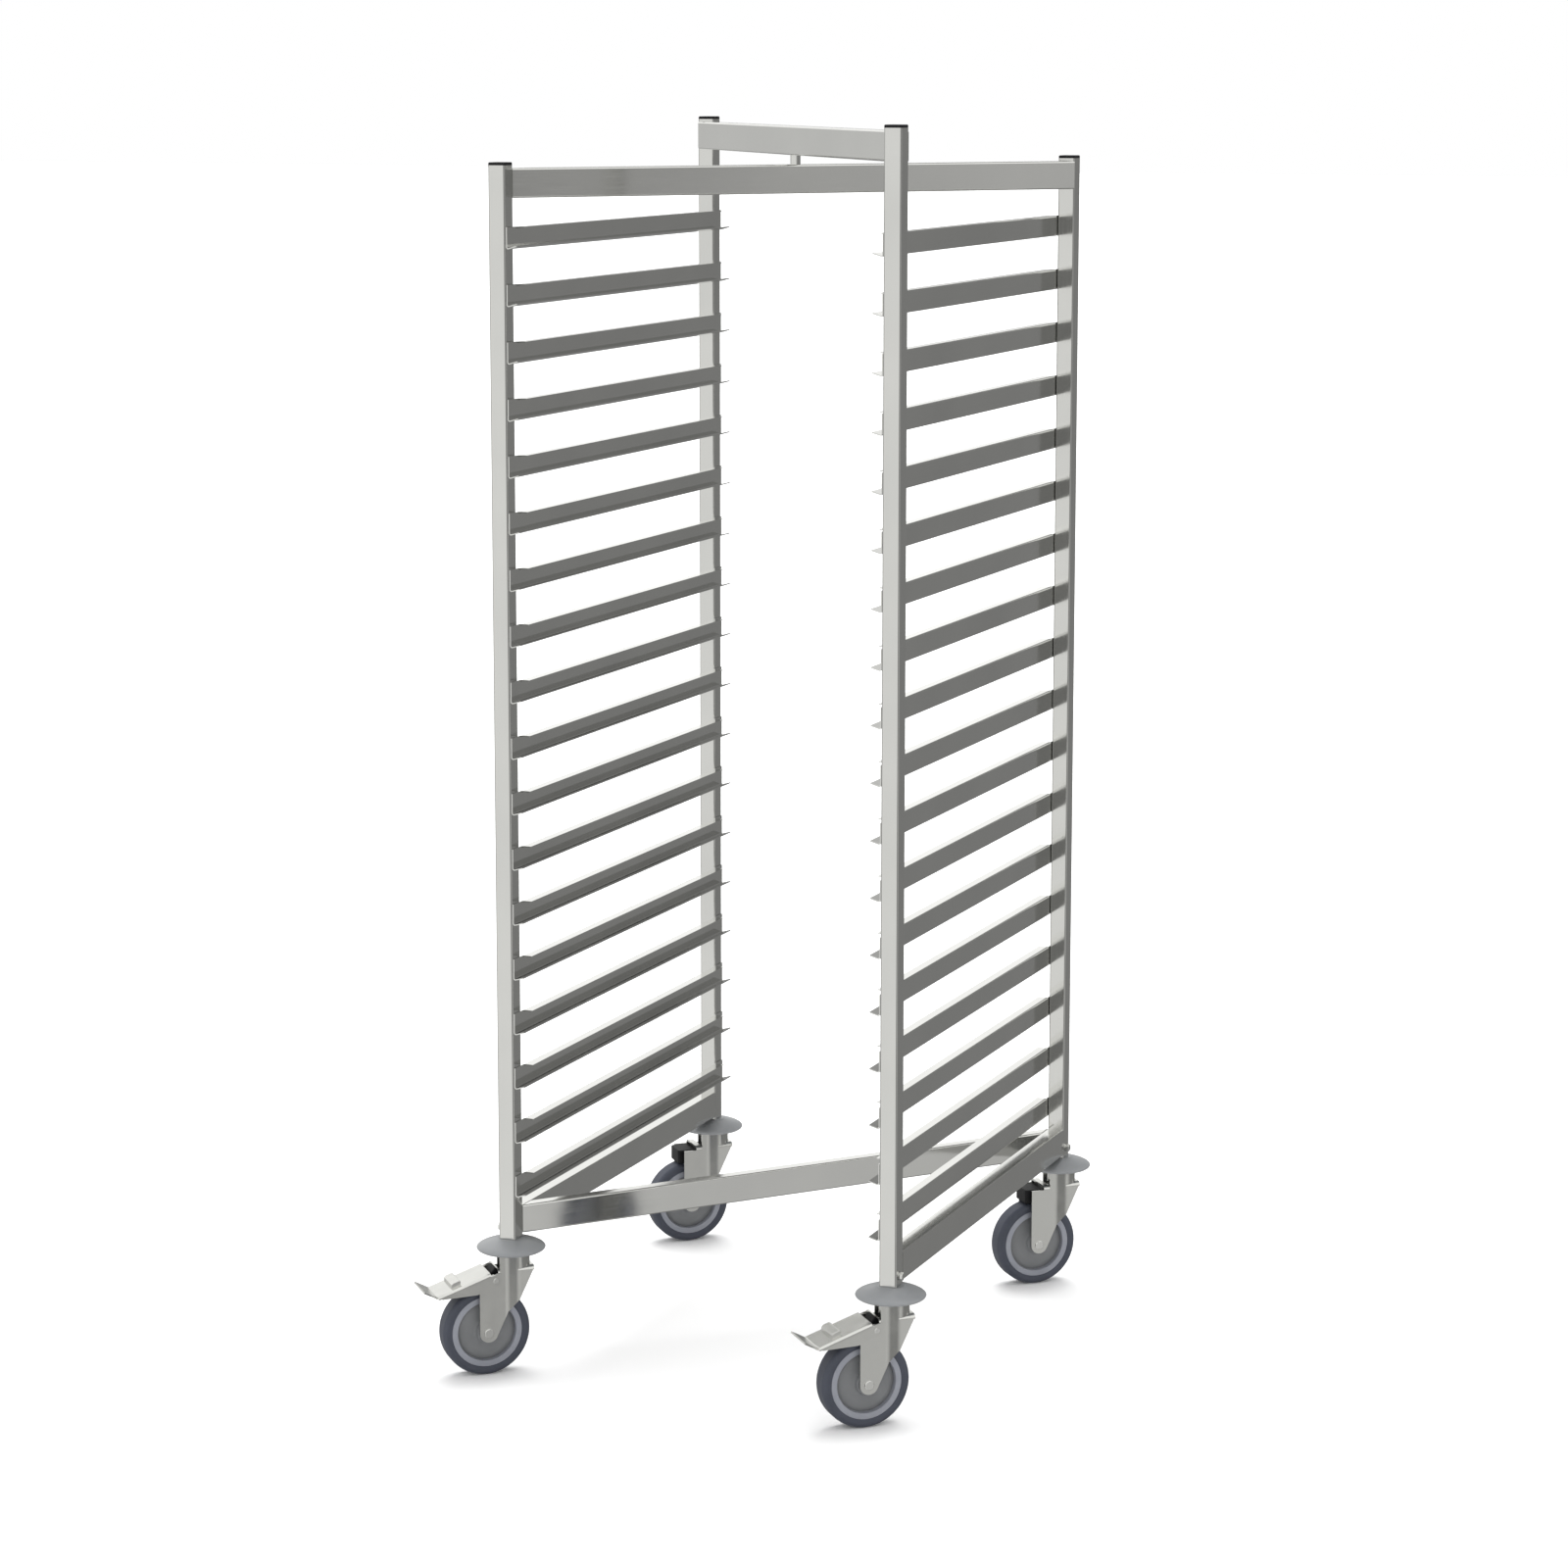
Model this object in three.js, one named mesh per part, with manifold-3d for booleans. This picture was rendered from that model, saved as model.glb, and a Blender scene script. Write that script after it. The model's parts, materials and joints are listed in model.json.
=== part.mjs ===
// Nestable mobile rack for sheet pans: four square posts, eighteen pairs of folded runners,
// a crossed pair of top rails, a Z-shaped bottom frame and four swivel casters.
// Millimetres, +Z up. The front of the rack looks along -Y and its right side along +X.
// The exported group stands on the floor, centred on its footprint.

import * as THREE from 'three';
import { mergeVertices } from 'three/addons/utils/BufferGeometryUtils.js';
import Module from 'manifold-3d';

const wasm = await Module();
wasm.setup();

// ---- driving dimensions ----------------------------------------------------

const GAP = 0.3; // air left where two pieces would touch

const POST = 25; // side of the square post tube
const POST_WALL = 1.5;
const POST_CORNER = 2.5; // outer corner radius of the tubes
const WIDTH = 592; // over the posts, along X
const DEPTH = 720; // over the posts, along Y
const POST_BOTTOM = 190;
const SHORT_POST_TOP = 1672; // front left and back right
const TALL_POST_TOP = 1725; // front right and back left

const RAIL_HEIGHT = 40;
const RAIL_WALL = 1.5;
const DIAGONAL_WIDTH = 19; // across a diagonal rail
const LOW_RAIL_TOP = 234;
const TOP_RAIL_DROP = 4; // top rails sit this far below the post ends
const SPACER_SIDE = 12;

const LEVELS = 18;
const PITCH = 77;
const TOP_RUNNER = 1590; // top of the highest runner
const SHEET = 1.5; // thickness of the folded runner sheet
const RUNNER_HEIGHT = 30; // from flange to the bottom bend
const FLANGE = 15; // width of the top flange, from the web's outer face
const FLANGE_CUT_BACK = 30; // from a post's inner end to the flange's end
const LEDGE = 16; // reach of the pan ledge beyond the post's inner face
const LEDGE_RISE = 4; // the ledge climbs this much towards its tip
const RUNNER_SHY = 2; // runner ends stop this far short of the posts' outer faces

const BUMPER_RADIUS = 48;
const BUMPER_BOTTOM = 172;
const BUMPER_HOLE_RADIUS = 8;
const KINGPIN_RADIUS = 7;
const KINGPIN_TOP = 204; // inside the post

const WHEEL_RADIUS = 62.5;
const TYRE_HALF_WIDTH = 16;
const WHEEL_SEGMENTS = 32;
const HUB_HALF_WIDTH = 19;
const TRAIL = 40; // from the swivel axis to the axle
const AXLE_RADIUS = 6;
const AXLE_HEAD_RADIUS = 6.5;
const AXLE_HEAD_HEIGHT = 1.6; // outside the legs

const LEG_OUTER = 25; // half the width over the fork's legs
const LEG_SHEET = 2.5;
const LEG_ROUNDING = 13; // round the axle, at a leg's lower end
const LEG_STEP = 5; // the legs come this much closer together towards their leading edge
const STEP_START = 13; // along the trail direction
const STEP_END = -4;
const LEADING_EDGE = -28;
const CHEEK_END = 23.5; // the legs rise beside the head from here to the end of the step
const CROWN_UNDERSIDE = 149.5;
const CROWN_TOP = 152.5;
const HEAD_RADIUS = 20.8;
const HEAD_SHIFT = -5; // from the swivel axis to the head's middle, along the trail direction
const HEAD_TOP = 170.5;
const CASTER_HEADING = -137.2; // degrees from +X to the side the wheels trail to

const PEDAL_PIVOT = [30, 138]; // along the trail direction, and up
const PEDAL_PIN_RADIUS = 4;
const PIN_PROUD = 0.6; // outside the skirts
const SKIRT_OUTER = 28.2;
const SKIRT_SHEET = 2.4;

// ---- materials -------------------------------------------------------------

const steel = () => new THREE.MeshStandardMaterial({ color: 0xc9cac4, roughness: 0.34, metalness: 1 });
const pressedSteel = () => new THREE.MeshStandardMaterial({ color: 0xc4c5be, roughness: 0.3, metalness: 1 });
const greyPlastic = () => new THREE.MeshStandardMaterial({ color: 0x94979c, roughness: 0.55, metalness: 0 });
const wheelMaterial = () => new THREE.MeshStandardMaterial({ color: 0x474b57, roughness: 0.6, metalness: 0 });

// ---- solid helpers ---------------------------------------------------------

// A closed three.js geometry as a solid that can be joined and cut.
function toSolid(geometry) {
  const bare = geometry.clone();
  bare.deleteAttribute('normal');
  bare.deleteAttribute('uv');
  const merged = mergeVertices(bare, 1e-4);
  return new wasm.Manifold(new wasm.Mesh({
    numProp: 3,
    vertProperties: new Float32Array(merged.attributes.position.array),
    triVerts: new Uint32Array(merged.index.array),
  }));
}

function toGeometry(solid) {
  const mesh = solid.getMesh();
  const geometry = new THREE.BufferGeometry();
  geometry.setAttribute('position', new THREE.BufferAttribute(mesh.vertProperties, 3));
  geometry.setIndex(new THREE.BufferAttribute(mesh.triVerts, 1));
  geometry.computeVertexNormals();
  return geometry;
}

function box(x0, x1, y0, y1, z0, z1) {
  const geometry = new THREE.BoxGeometry(x1 - x0, y1 - y0, z1 - z0);
  return geometry.translate((x0 + x1) / 2, (y0 + y1) / 2, (z0 + z1) / 2);
}

function polygon(points) {
  return new THREE.Shape(points.map(([x, y]) => new THREE.Vector2(x, y)));
}

function roundedRectangle(path, width, height, radius) {
  const x = width / 2;
  const y = height / 2;
  path.moveTo(x, -y + radius);
  path.lineTo(x, y - radius);
  path.absarc(x - radius, y - radius, radius, 0, Math.PI / 2);
  path.lineTo(-x + radius, y);
  path.absarc(-x + radius, y - radius, radius, Math.PI / 2, Math.PI);
  path.lineTo(-x, -y + radius);
  path.absarc(-x + radius, -y + radius, radius, Math.PI, 1.5 * Math.PI);
  path.lineTo(x - radius, -y);
  path.absarc(x - radius, -y + radius, radius, 1.5 * Math.PI, 2 * Math.PI);
  return path;
}

// A straight rectangular tube along +Z, open at both ends.
function tube(width, height, wall, length) {
  const section = roundedRectangle(new THREE.Shape(), width, height, POST_CORNER);
  const hollow = new THREE.Path();
  section.holes.push(roundedRectangle(hollow, width - 2 * wall, height - 2 * wall, POST_CORNER - wall));
  return new THREE.ExtrudeGeometry(section, { depth: length, bevelEnabled: false, curveSegments: 3 });
}

// An outline drawn in (x, z), made thick along Y from y0 to y1.
function plateAcrossY(shape, y0, y1, curveSegments = 6) {
  const geometry = new THREE.ExtrudeGeometry(shape, { depth: y1 - y0, bevelEnabled: false, curveSegments });
  return geometry.rotateX(Math.PI / 2).translate(0, y1, 0);
}

// A ring or disc around the Y axis from its (radius, y) section.
function lathe(section, segments) {
  return new THREE.LatheGeometry(section.map(([r, y]) => new THREE.Vector2(r, y)), segments);
}

// The same around the Z axis, from its (radius, z) section.
function turned(section, segments) {
  return lathe(section, segments).rotateX(Math.PI / 2);
}

function cylinderAlongY(radius, y0, y1, segments) {
  return new THREE.CylinderGeometry(radius, radius, y1 - y0, segments).translate(0, (y0 + y1) / 2, 0);
}

function named(name, geometry, material) {
  const mesh = new THREE.Mesh(geometry, material);
  mesh.name = name;
  return mesh;
}

// ---- frame -----------------------------------------------------------------

const CORNERS = {
  front_left: { x: POST / 2, y: POST / 2, top: SHORT_POST_TOP, braked: true },
  front_right: { x: WIDTH - POST / 2, y: POST / 2, top: TALL_POST_TOP, braked: true },
  back_left: { x: POST / 2, y: DEPTH - POST / 2, top: TALL_POST_TOP, braked: false },
  back_right: { x: WIDTH - POST / 2, y: DEPTH - POST / 2, top: SHORT_POST_TOP, braked: false },
};

function post(corner) {
  const bottom = POST_BOTTOM + GAP;
  return tube(POST, POST, POST_WALL, corner.top - bottom).translate(corner.x, corner.y, bottom);
}

// A rail along Y between two posts, in line with them.
function sideRail(x) {
  const length = DEPTH - 2 * POST - 2 * GAP;
  const rail = tube(POST, RAIL_HEIGHT, RAIL_WALL, length).rotateX(-Math.PI / 2);
  return rail.translate(x, POST + GAP, LOW_RAIL_TOP - RAIL_HEIGHT / 2);
}

// A rail from the left side to the right side, cut flush along the faces that it is welded to.
// rise is +1 when it runs from the front left to the back right, and -1 the other way.
function diagonalRail(rise, top, x0, x1) {
  const run = new THREE.Vector2(WIDTH - POST, DEPTH - 2 * POST);
  const beyond = 2 * POST;
  const length = run.length() + 2 * beyond;
  const rail = tube(DIAGONAL_WIDTH, RAIL_HEIGHT, RAIL_WALL, length).rotateX(-Math.PI / 2);
  rail.translate(0, -length / 2, 0).rotateZ(-rise * Math.atan2(run.x, run.y));
  rail.translate(WIDTH / 2, DEPTH / 2, top - RAIL_HEIGHT / 2);
  const room = box(x0, x1, POST + GAP, DEPTH - POST - GAP, top - 2 * RAIL_HEIGHT, top + RAIL_HEIGHT);
  return toGeometry(toSolid(rail).intersect(toSolid(room)));
}

function railSpacer(bottom, top) {
  const height = top - bottom - 2 * GAP;
  return tube(SPACER_SIDE, SPACER_SIDE, POST_WALL, height).translate(WIDTH / 2, DEPTH / 2, bottom + GAP);
}

// A folded runner of the left side, with its top at z = 0: an upright web on the posts' inner
// faces, a flange turned inwards along its top and a wider ledge below it for the pans. The flange
// stops short of the posts.
function runner() {
  const outer = POST + GAP;
  const inner = outer + SHEET;
  const tip = POST + LEDGE;
  const bottom = -RUNNER_HEIGHT;
  const fold = polygon([
    [outer, 0], [outer, bottom], [inner, bottom], [tip, bottom + LEDGE_RISE],
    [tip, bottom + LEDGE_RISE + SHEET], [inner, bottom + SHEET], [inner, 0],
  ]);
  const webAndLedge = plateAcrossY(fold, RUNNER_SHY, DEPTH - RUNNER_SHY);
  const flangeStart = POST + FLANGE_CUT_BACK;
  const flange = box(outer, outer + FLANGE, flangeStart, DEPTH - flangeStart, -SHEET, 0);
  return toGeometry(toSolid(webAndLedge).add(toSolid(flange)));
}

// ---- casters, drawn with the swivel axis on Z and the wheel trailing along +X ------------

// A disc with a thin rim, a flat underside and a domed top that a post stands on.
function bumper() {
  const height = POST_BOTTOM - BUMPER_BOTTOM;
  const section = [
    [BUMPER_HOLE_RADIUS, 0], [40, 0], [BUMPER_RADIUS, 3], [46, 8], [34, 14], [16, height],
    [BUMPER_HOLE_RADIUS, height], [BUMPER_HOLE_RADIUS, 0],
  ];
  return turned(section, 32).translate(0, 0, BUMPER_BOTTOM);
}

// Both legs of the fork. Each is flat over the axle, steps in towards its leading edge, and rises
// beside the head.
function forkLegs() {
  const tail = TRAIL + LEG_ROUNDING;
  const front = LEG_OUTER - LEG_STEP;
  const plan = [
    [tail, LEG_OUTER], [STEP_START, LEG_OUTER], [STEP_END, front], [LEADING_EDGE, front],
    [LEADING_EDGE, front - LEG_SHEET], [STEP_END, front - LEG_SHEET],
    [STEP_START, LEG_OUTER - LEG_SHEET], [tail, LEG_OUTER - LEG_SHEET],
  ];
  const mirrored = plan.map(([x, y]) => [x, -y]).reverse();
  const upright = { depth: HEAD_TOP, bevelEnabled: false };
  const near = toSolid(new THREE.ExtrudeGeometry(polygon(plan), upright));
  const far = toSolid(new THREE.ExtrudeGeometry(polygon(mirrored), upright));

  const side = new THREE.Shape();
  side.moveTo(tail, CROWN_TOP);
  side.lineTo(CHEEK_END, CROWN_TOP);
  side.lineTo(CHEEK_END, HEAD_TOP);
  side.lineTo(STEP_END, HEAD_TOP);
  side.lineTo(STEP_END, CROWN_TOP);
  side.lineTo(LEADING_EDGE, CROWN_TOP);
  side.lineTo(-6, 105);
  side.lineTo(12, 91);
  side.absarc(TRAIL, WHEEL_RADIUS, LEG_ROUNDING, Math.PI * 1.17, Math.PI * 2);
  side.closePath();
  return near.add(far).intersect(toSolid(plateAcrossY(side, -LEG_OUTER - 1, LEG_OUTER + 1)));
}

function fork(braked) {
  const crownSide = LEG_OUTER - 1;
  const crown = toSolid(box(LEADING_EDGE, TRAIL, -crownSide, crownSide, CROWN_UNDERSIDE, CROWN_TOP));
  const head = toSolid(turned([
    [0, CROWN_UNDERSIDE], [HEAD_RADIUS, CROWN_UNDERSIDE], [HEAD_RADIUS, HEAD_TOP - 1],
    [HEAD_RADIUS - 1, HEAD_TOP], [0, HEAD_TOP],
  ], 32).translate(HEAD_SHIFT, 0, 0));
  const kingpin = toSolid(turned([
    [0, CROWN_TOP], [KINGPIN_RADIUS, CROWN_TOP], [KINGPIN_RADIUS, KINGPIN_TOP], [0, KINGPIN_TOP],
  ], 24));
  const axle = cylinderAlongY(AXLE_RADIUS, -LEG_OUTER, LEG_OUTER, 24);
  let solid = forkLegs().add(crown).add(head).add(kingpin);
  solid = solid.add(toSolid(axle.translate(TRAIL, 0, WHEEL_RADIUS)));
  const headInner = LEG_OUTER - 0.5;
  const headOuter = LEG_OUTER + AXLE_HEAD_HEIGHT;
  for (const [y0, y1] of [[-headOuter, -headInner], [headInner, headOuter]]) {
    const axleHead = cylinderAlongY(AXLE_HEAD_RADIUS, y0, y1, 24);
    solid = solid.add(toSolid(axleHead.translate(TRAIL, 0, WHEEL_RADIUS)));
  }
  if (braked) {
    const hole = cylinderAlongY(PEDAL_PIN_RADIUS + 0.5, -LEG_OUTER - 1, LEG_OUTER + 1, 20);
    solid = solid.subtract(toSolid(hole.translate(PEDAL_PIVOT[0], 0, PEDAL_PIVOT[1])));
  }
  return toGeometry(solid);
}

// Tread, rim, web and hub of a wheel in one section, turned about its axle along Y.
// The tread has a flat under the axle, so that the wheel stands on a face.
function wheel() {
  const bore = AXLE_RADIUS + GAP;
  const treadRadius = WHEEL_RADIUS / Math.cos(Math.PI / WHEEL_SEGMENTS);
  const half = [
    [bore, HUB_HALF_WIDTH], [13, HUB_HALF_WIDTH], [15, 9], [38, 6], [40, 13], [50, TYRE_HALF_WIDTH],
    [58, 14.5], [treadRadius, 10],
  ];
  const other = half.map(([r, w]) => [r, -w]).reverse();
  const ring = lathe([...half, ...other, half[0]].reverse(), WHEEL_SEGMENTS);
  return ring.rotateY(Math.PI / WHEEL_SEGMENTS).translate(TRAIL, 0, WHEEL_RADIUS);
}

// Foot pedal of a braked caster: a plate over the wheel between two skirts, on a pivot pin.
function brakePedal() {
  const skirt = polygon([
    [22, 131], [38, 129], [56, 120], [107, 118.5], [112, 123.5], [56, 142.5], [46, 146], [22, 146],
  ]);
  const plate = polygon([
    [54.5, 140.5], [112, 121], [133, 126], [133, 128.5], [112, 123.5], [54.5, 143],
  ]);
  const inside = SKIRT_OUTER - SKIRT_SHEET;
  const pin = cylinderAlongY(PEDAL_PIN_RADIUS, -SKIRT_OUTER - PIN_PROUD, SKIRT_OUTER + PIN_PROUD, 20);
  const solid = toSolid(plateAcrossY(skirt, inside, SKIRT_OUTER))
    .add(toSolid(plateAcrossY(skirt, -SKIRT_OUTER, -inside)))
    .add(toSolid(plateAcrossY(plate, -SKIRT_OUTER, SKIRT_OUTER)))
    .add(toSolid(pin.translate(PEDAL_PIVOT[0], 0, PEDAL_PIVOT[1])));
  return toGeometry(solid);
}

// ---- assembly --------------------------------------------------------------

const rack = new THREE.Group();

for (const [place, corner] of Object.entries(CORNERS)) {
  rack.add(named(`${place}_post`, post(corner), steel()));
}

rack.add(named('left_bottom_rail', sideRail(POST / 2), steel()));
rack.add(named('right_bottom_rail', sideRail(WIDTH - POST / 2), steel()));
const innerLeft = POST + GAP;
const innerRight = WIDTH - POST - GAP;
rack.add(named('bottom_diagonal_rail', diagonalRail(1, LOW_RAIL_TOP, innerLeft, innerRight), steel()));

const lowerTop = SHORT_POST_TOP - TOP_RAIL_DROP;
const upperTop = TALL_POST_TOP - TOP_RAIL_DROP;
rack.add(named('lower_top_rail', diagonalRail(1, lowerTop, 0, WIDTH), steel()));
rack.add(named('upper_top_rail', diagonalRail(-1, upperTop, 0, WIDTH), steel()));
rack.add(named('top_rail_spacer', railSpacer(lowerTop, upperTop - RAIL_HEIGHT), steel()));

for (let level = 0; level < LEVELS; level += 1) {
  const number = String(level + 1).padStart(2, '0');
  const z = TOP_RUNNER - level * PITCH;
  const left = named(`left_runner_${number}`, runner(), steel());
  left.position.set(0, 0, z);
  const right = named(`right_runner_${number}`, runner(), steel());
  right.rotation.z = Math.PI;
  right.position.set(WIDTH, DEPTH, z);
  rack.add(left, right);
}

for (const [place, corner] of Object.entries(CORNERS)) {
  const caster = new THREE.Group();
  caster.position.set(corner.x, corner.y, 0);
  caster.add(named(`${place}_bumper`, bumper(), greyPlastic()));
  const swivel = new THREE.Group();
  swivel.rotation.z = THREE.MathUtils.degToRad(CASTER_HEADING);
  swivel.add(named(`${place}_fork`, fork(corner.braked), pressedSteel()));
  swivel.add(named(`${place}_wheel`, wheel(), wheelMaterial()));
  if (corner.braked) {
    swivel.add(named(`${place}_brake_pedal`, brakePedal(), pressedSteel()));
  }
  caster.add(swivel);
  rack.add(caster);
}

// Stand the rack at the middle of its footprint.
const model = new THREE.Group();
const footprint = new THREE.Box3().setFromObject(rack, true);
rack.position.x = -(footprint.min.x + footprint.max.x) / 2;
rack.position.y = -(footprint.min.y + footprint.max.y) / 2;
model.add(rack);

export default model;
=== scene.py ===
"""Looks of the sheet pan rack: each visible piece is built around its CAD node, with its material,
then a pale floor, soft studio light and the camera. Metres, +Z up, -Y towards the rack's front."""
import json
import math

import bmesh
import bpy
from mathutils import Matrix, Vector


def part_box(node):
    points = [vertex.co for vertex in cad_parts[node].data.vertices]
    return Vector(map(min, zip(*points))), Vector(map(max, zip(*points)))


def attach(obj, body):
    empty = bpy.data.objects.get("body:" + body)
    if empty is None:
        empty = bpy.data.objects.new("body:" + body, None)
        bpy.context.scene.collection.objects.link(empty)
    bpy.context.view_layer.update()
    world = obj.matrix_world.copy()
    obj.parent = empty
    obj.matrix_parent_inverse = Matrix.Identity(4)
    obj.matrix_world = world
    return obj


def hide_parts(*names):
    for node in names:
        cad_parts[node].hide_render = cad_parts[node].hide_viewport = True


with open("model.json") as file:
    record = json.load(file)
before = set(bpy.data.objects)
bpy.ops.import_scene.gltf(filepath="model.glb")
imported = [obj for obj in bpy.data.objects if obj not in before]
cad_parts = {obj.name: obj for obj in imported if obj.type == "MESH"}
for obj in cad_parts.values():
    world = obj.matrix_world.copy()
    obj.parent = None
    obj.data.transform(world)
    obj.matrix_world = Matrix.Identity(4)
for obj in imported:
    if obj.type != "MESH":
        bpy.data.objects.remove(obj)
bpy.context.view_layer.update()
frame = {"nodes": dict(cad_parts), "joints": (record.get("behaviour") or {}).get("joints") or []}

MM = 0.001
CORNERS = ("front_left", "front_right", "back_left", "back_right")
BRAKED = ("front_left", "front_right")
JOINTS = {joint["name"]: joint for joint in frame["joints"]}
LEVELS = sum(name.startswith("left_runner_") for name in frame["nodes"])

TUBE_CORNER = 2.5 * MM
TUBE_WALL = 1.5 * MM
SHEET = 1.5 * MM
JOINT_GAP = 0.3 * MM  # the CAD model leaves this where two welded pieces meet

NOISE_RANGE = (0.3, 0.7)  # a noise texture seldom leaves this
ARC_STEPS = 6  # of a rounded corner
WELD = 0.001 * MM  # points nearer than this are one

# ---------------------------------------------------------------- materials


class Nodes:
    """A material's node tree, with short calls to add nodes and join them."""

    def __init__(self, name):
        self.material = bpy.data.materials.new(name)
        self.material.use_nodes = True
        self.tree = self.material.node_tree
        self.shader = next(n for n in self.tree.nodes if n.type == "BSDF_PRINCIPLED")

    def add(self, kind, **settings):
        node = self.tree.nodes.new(kind)
        for key, value in settings.items():
            setattr(node, key, value)
        return node

    def join(self, source, target):
        self.tree.links.new(source, target)

    def set(self, **values):
        for key, value in values.items():
            self.shader.inputs[key.replace("_", " ")].default_value = value

    def place(self, unit, turn=0.0):
        """Position on the object, in units of that length along the axes turned about Z."""
        where = self.add("ShaderNodeTexCoord")
        mapping = self.add("ShaderNodeMapping", vector_type="TEXTURE")
        mapping.inputs["Rotation"].default_value = (0, 0, turn)
        mapping.inputs["Scale"].default_value = unit
        self.join(where.outputs["Object"], mapping.inputs["Vector"])
        return mapping.outputs["Vector"]

    def noise(self, vector, scale, detail):
        node = self.add("ShaderNodeTexNoise")
        node.inputs["Scale"].default_value = scale
        node.inputs["Detail"].default_value = detail
        self.join(vector, node.inputs["Vector"])
        return node.outputs["Fac"]

    def ramp(self, factor, low, high):
        """factor remapped to a colour between low and high."""
        node = self.add("ShaderNodeValToRGB")
        for stop, position, colour in zip(node.color_ramp.elements, NOISE_RANGE, (low, high)):
            stop.position = position
            stop.color = (*colour, 1)
        self.join(factor, node.inputs["Fac"])
        return node.outputs["Color"]

    def level(self, factor, low, high):
        """factor remapped to a number between low and high."""
        node = self.add("ShaderNodeMapRange")
        node.inputs["From Min"].default_value = NOISE_RANGE[0]
        node.inputs["From Max"].default_value = NOISE_RANGE[1]
        node.inputs["To Min"].default_value = low
        node.inputs["To Max"].default_value = high
        self.join(factor, node.inputs["Value"])
        return node.outputs["Result"]

    def bump(self, height, strength, distance):
        node = self.add("ShaderNodeBump")
        node.inputs["Strength"].default_value = strength
        node.inputs["Distance"].default_value = distance
        self.join(height, node.inputs["Height"])
        self.join(node.outputs["Normal"], self.shader.inputs["Normal"])


def brushed_steel(name, grain, turn=0.0, tone=0.66, roughness=(0.08, 0.15)):
    """Satin stainless steel, brushed along x, y or z of a frame turned about the upright."""
    nodes = Nodes(name)
    stretch = [0.0011, 0.0011, 0.0011]
    stretch["xyz".index(grain)] = 0.07
    fine = nodes.noise(nodes.place(stretch, turn), 1.0, 4.0)
    cloud = nodes.noise(nodes.place((1, 1, 1)), 6.0, 3.0)
    dark = (tone * 0.96, tone * 0.96, tone * 0.935)
    light = (tone * 1.03, tone * 1.03, tone * 1.0)
    nodes.join(nodes.ramp(cloud, dark, light), nodes.shader.inputs["Base Color"])
    nodes.join(nodes.level(fine, *roughness), nodes.shader.inputs["Roughness"])
    nodes.bump(fine, 0.06, 0.0001)
    nodes.set(Metallic=1.0)
    return nodes.material


def pressed_steel():
    """Bright pressed steel of the forks and pedals, faintly cloudy like a pickled finish."""
    nodes = Nodes("pressed_steel")
    cloud = nodes.noise(nodes.place((1, 1, 1)), 40.0, 4.0)
    fine = nodes.noise(nodes.place((1, 1, 1)), 1600.0, 2.0)
    tone = nodes.ramp(cloud, (0.6, 0.6, 0.58), (0.66, 0.66, 0.635))
    nodes.join(tone, nodes.shader.inputs["Base Color"])
    nodes.join(nodes.level(cloud, 0.19, 0.27), nodes.shader.inputs["Roughness"])
    nodes.bump(fine, 0.05, 0.00005)
    nodes.set(Metallic=1.0)
    return nodes.material


def moulded(name, low, high, roughness, grain=900.0, strength=0.1, gloss=0.5):
    """Moulded plastic or rubber: a slight change of tone, and a fine surface grain."""
    nodes = Nodes(name)
    cloud = nodes.noise(nodes.place((1, 1, 1)), 30.0, 4.0)
    fine = nodes.noise(nodes.place((1, 1, 1)), grain, 3.0)
    nodes.join(nodes.ramp(cloud, low, high), nodes.shader.inputs["Base Color"])
    spread = nodes.level(fine, roughness - 0.06, roughness + 0.06)
    nodes.join(spread, nodes.shader.inputs["Roughness"])
    nodes.bump(fine, strength, 0.0001)
    nodes.set(Specular_IOR_Level=gloss)
    return nodes.material


POSTS = {corner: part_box(f"{corner}_post") for corner in CORNERS}
POST_SIDE = POSTS["front_left"][1].x - POSTS["front_left"][0].x
INNER_LEFT = POSTS["front_left"][1].x
INNER_RIGHT = POSTS["front_right"][0].x
INNER_FRONT = POSTS["front_left"][1].y
INNER_BACK = POSTS["back_left"][0].y
ACROSS = POSTS["front_right"][0].x - POSTS["front_left"][0].x
ALONG = INNER_BACK - INNER_FRONT
DIAGONAL_TURN = math.atan2(ACROSS, ALONG)  # between a diagonal rail and the rack's sides

STEEL_Y = brushed_steel("satin_steel_lengthways", "y")
STEEL_Z = brushed_steel("satin_steel_upright", "z")
STEEL_RISING = brushed_steel("satin_steel_diagonal", "y", -DIAGONAL_TURN)
STEEL_FALLING = brushed_steel("satin_steel_counter_diagonal", "y", DIAGONAL_TURN)
PRESSED = pressed_steel()
BOLT = brushed_steel("bolt_steel", "z", 0.0, 0.68, (0.16, 0.26))
BLACK = moulded("black_plastic", (0.006, 0.006, 0.007), (0.012, 0.012, 0.013), 0.5, gloss=0.15)
BUMPER_GREY = moulded("bumper_grey", (0.21, 0.218, 0.226), (0.235, 0.243, 0.251), 0.36)
RIM_LIGHT = moulded("rim_grey", (0.225, 0.235, 0.27), (0.26, 0.27, 0.305), 0.45)
RIM_WEB = moulded("wheel_web_grey", (0.15, 0.155, 0.16), (0.175, 0.18, 0.185), 0.5)
RUBBER = moulded("tyre_rubber", (0.04, 0.046, 0.064), (0.05, 0.056, 0.078), 0.6, 1200.0, 0.15)

# ---------------------------------------------------------------- mesh helpers


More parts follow.
